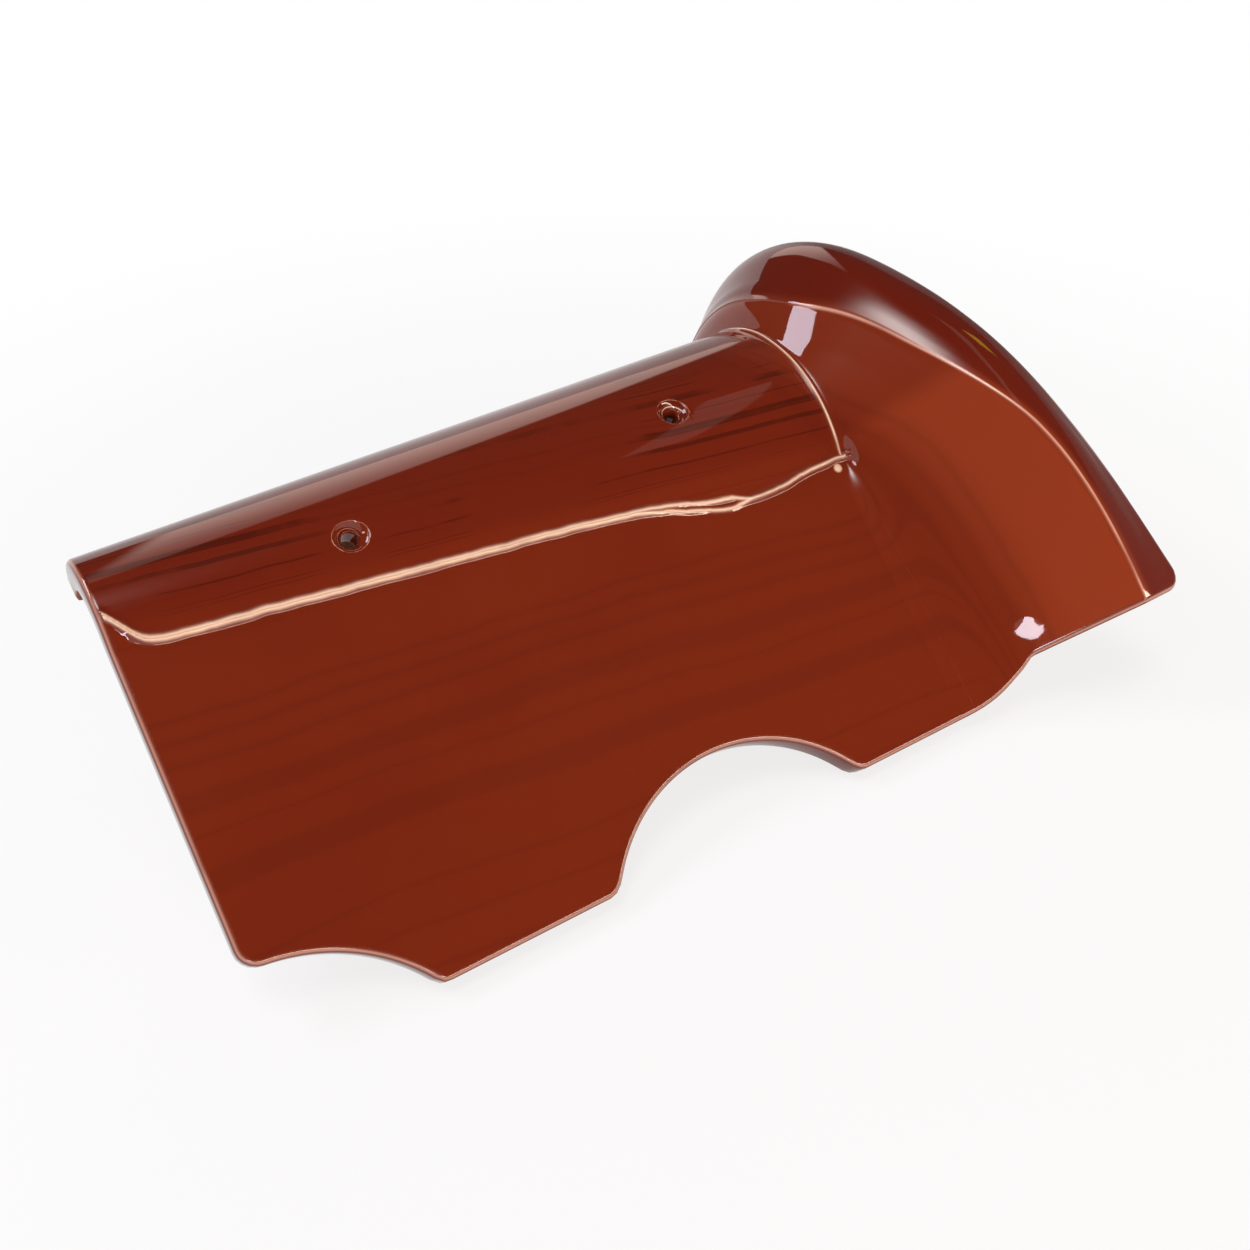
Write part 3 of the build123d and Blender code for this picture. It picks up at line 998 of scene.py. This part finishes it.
makeTile()

stageLook = {  # floor that sweeps up to a low backdrop: radius and height in m
    "sweep": ((0.6, 0), (2.5, 0), (4.4, 0), (4.8, 0.06), (5.1, 0.25), (5.2, 0.6), (5.2, 1.5)),
    "sides": 72,
    "centre": 0.01,  # m: below it the side can't be told
    "white": (0.2, 0.75, 0.8, 1.0),  # a little less white round the tile's foot
    "rightFrom": (0.35, 0.75),  # where the right side starts: x by distance
    "glossShares": (0.8, 0.1),  # how white the glaze sees it, at the left and at the right
    "dimFrom": (0.6, 1.6),
    "paleness": (0.88, 0.25),  # near, and far off at the right
}


def makeFloor():
    look = stageLook
    sides, sweep = look["sides"], look["sweep"]
    turns = [math.tau * k / sides for k in range(sides)]
    points = [(r * math.cos(a), r * math.sin(a), h) for r, h in sweep for a in turns]
    faces = [tuple(range(sides))]
    for ring in range(len(sweep) - 1):
        for k in range(sides):
            n = (k + 1) % sides
            low, up = ring * sides, (ring + 1) * sides
            faces.append((low + k, up + k, up + n, low + n))
    mesh = bpy.data.meshes.new("floor")
    mesh.from_pydata(points, [], faces)
    for polygon in mesh.polygons:
        polygon.use_smooth = len(polygon.vertices) == 4
    floor = bpy.data.objects.new("floor", mesh)
    bpy.context.scene.collection.objects.link(floor)
    material = bpy.data.materials.new("paleFloor")
    material.use_nodes = True
    tree, nodes = material.node_tree, material.node_tree.nodes
    calc, span = partial(calculate, tree), partial(mapRange, tree)
    path = nodes.new("ShaderNodeLightPath").outputs
    place = nodes.new("ShaderNodeTexCoord").outputs["Object"]
    away = vectorMath(tree, "LENGTH", place).outputs["Value"]
    split = nodes.new("ShaderNodeSeparateXYZ")
    feed(tree, split.inputs, [place])
    right = calc("DIVIDE", split.outputs["X"], calc("MAXIMUM", away, look["centre"]))
    gloss = span(right, *look["rightFrom"], *look["glossShares"])
    seen = calc("MULTIPLY", path["Is Glossy Ray"], gloss)
    for name in ("Is Camera Ray", "Is Transmission Ray"):
        seen = calc("MAXIMUM", seen, path[name])
    white = calc("MULTIPLY", span(away, *look["white"]), seen)
    far = calc("MULTIPLY", span(away, *look["dimFrom"], 0, 1), span(right, *look["rightFrom"], 0, 1))
    shader = nodes["Principled BSDF"]
    sockets = [shader.inputs[key] for key in ("Base Color", "Roughness", "Specular IOR Level")]
    feed(tree, sockets, [span(far, 0, 1, *look["paleness"]), 1.0, 0.0])
    glow = nodes.new("ShaderNodeEmission")  # strength 1 is white
    mix = nodes.new("ShaderNodeMixShader")
    feed(tree, mix.inputs, [white, shader.outputs[0], glow.outputs[0]])
    feed(tree, [nodes["Material Output"].inputs["Surface"]], [mix.outputs[0]])
    mesh.materials.append(material)


makeFloor()
print("floor ready")

studioLight = {  # the world; a glow: azimuth from front to right, elevation, spread, colour, strength, cuts
    "base": (0.055, 0.05, 0.048),
    "glows": (
        (-68, 75, 11, (1.0, 0.97, 0.94), 10.5, ()),
        (163, 24, 33, (1.0, 0.80, 0.71), 2.0, (((146, 33), (161, 59)), ((173, 80), (173, 0)))),
    ),
    "cutSoft": 0.035,
}


def aim(azimuth, elevation):
    a, e = math.radians(azimuth), math.radians(elevation)
    return Vector((math.sin(a) * math.cos(e), -math.cos(a) * math.cos(e), math.sin(e)))


def makeWorld():
    world = bpy.data.worlds.new("studio")
    bpy.context.scene.world = world
    world.use_nodes = True
    tree = world.node_tree
    calc = partial(calculate, tree)
    way = tree.nodes.new("ShaderNodeTexCoord").outputs["Generated"]
    total = studioLight["base"]
    for azimuth, elevation, spread, colour, strength, cuts in studioLight["glows"]:
        near = vectorMath(tree, "DOT_PRODUCT", way, aim(azimuth, elevation)).outputs["Value"]
        tight = 1 / (1 - math.cos(math.radians(spread)))
        shine = calc("EXPONENT", calc("MULTIPLY", calc("SUBTRACT", near, 1.0), tight))
        for start, stop in cuts:  # each cut is a line between two directions
            across = aim(*start).cross(aim(*stop)).normalized()
            side = vectorMath(tree, "DOT_PRODUCT", way, across).outputs["Value"]
            shine = calc("MULTIPLY", shine, mapRange(tree, side, -studioLight["cutSoft"], 0.0, 1.0, 0.0))
        tint = vectorMath(tree, "SCALE", [c * strength for c in colour])
        feed(tree, [tint.inputs["Scale"]], [shine])
        total = vectorMath(tree, "ADD", tint.outputs[0], total).outputs[0]
    feed(tree, [tree.nodes["Background"].inputs["Color"]], [total])


makeWorld()

studioPanels = {  # spot on the tile in mm, azimuth, elevation, distance, width, height in m, colour, glow
    "frontStrip": ((0, -10, 105), 22, 12, 1.6, 2.3, 0.16, (1.0, 0.80, 0.64), 16.0),
    "coolPane": ((124, 29, 138), -122, 42, 1.6, 0.70, 0.40, (0.86, 0.85, 1.0), 11.0),
    "lowPane": ((147, -117, 44), -38, 13.5, 1.5, 0.30, 0.19, (0.95, 0.90, 1.0), 16.0),
    "highStrip": ((60, 5, 120), 78, 57, 1.6, 0.75, 0.13, (1.0, 0.82, 0.72), 0.45),
    "olivePane": ((175, -35, 143), 103.5, 38, 1.5, 0.10, 0.26, (0.62, 0.50, 0.03), 3.0),
    "leftPanel": ((-213, -30, 70), -95, 26, 1.5, 0.22, 0.30, (1.0, 0.92, 0.98), 10.0),
}


def makePanels():
    for name, (spot, azimuth, elevation, far, width, height, colour, glow) in studioPanels.items():
        data = bpy.data.lights.new(name, "AREA")
        data.shape = "RECTANGLE"
        data.size, data.size_y = width, height
        data.color = colour
        data.energy = glow * math.pi * width * height  # glow is the radiance of the panel
        lamp = bpy.data.objects.new(name, data)
        way = aim(azimuth, elevation)
        lamp.location = Vector(spot) / mmPerM + way * far
        lamp.rotation_euler = (-way).to_track_quat("-Z", "Y").to_euler()
        bpy.context.scene.collection.objects.link(lamp)


makePanels()
print("lights ready")

cameraFit = {  # the photo's view: place in m, turns in degrees, lens and sensor in mm
    "place": (-0.25795, -0.39980, 0.38891),
    "elevation": 36.8648,
    "turn": 33.4557,
    "tilt": -0.21264,
    "lens": 36.842,
    "sensor": 36.0,
    "clipStart": 0.01,
}


def makeCamera():
    e, p, r = (math.radians(cameraFit[k]) for k in ("elevation", "turn", "tilt"))
    back = Vector((-math.sin(p) * math.cos(e), -math.cos(p) * math.cos(e), math.sin(e)))
    right = Vector((0, 0, 1)).cross(back).normalized()
    up = back.cross(right)
    across = right * math.cos(r) + up * math.sin(r)
    upward = up * math.cos(r) - right * math.sin(r)
    data = bpy.data.cameras.new("photoView")
    data.sensor_width = cameraFit["sensor"]
    data.lens = cameraFit["lens"]
    data.clip_start = cameraFit["clipStart"]
    camera = bpy.data.objects.new("photoView", data)
    turn = Matrix((across, upward, back)).transposed()
    camera.matrix_world = Matrix.Translation(cameraFit["place"]) @ turn.to_4x4()
    bpy.context.scene.collection.objects.link(camera)
    bpy.context.scene.camera = camera


makeCamera()
bpy.context.scene.view_settings.view_transform = "Standard"

bpy.context.view_layer.update()
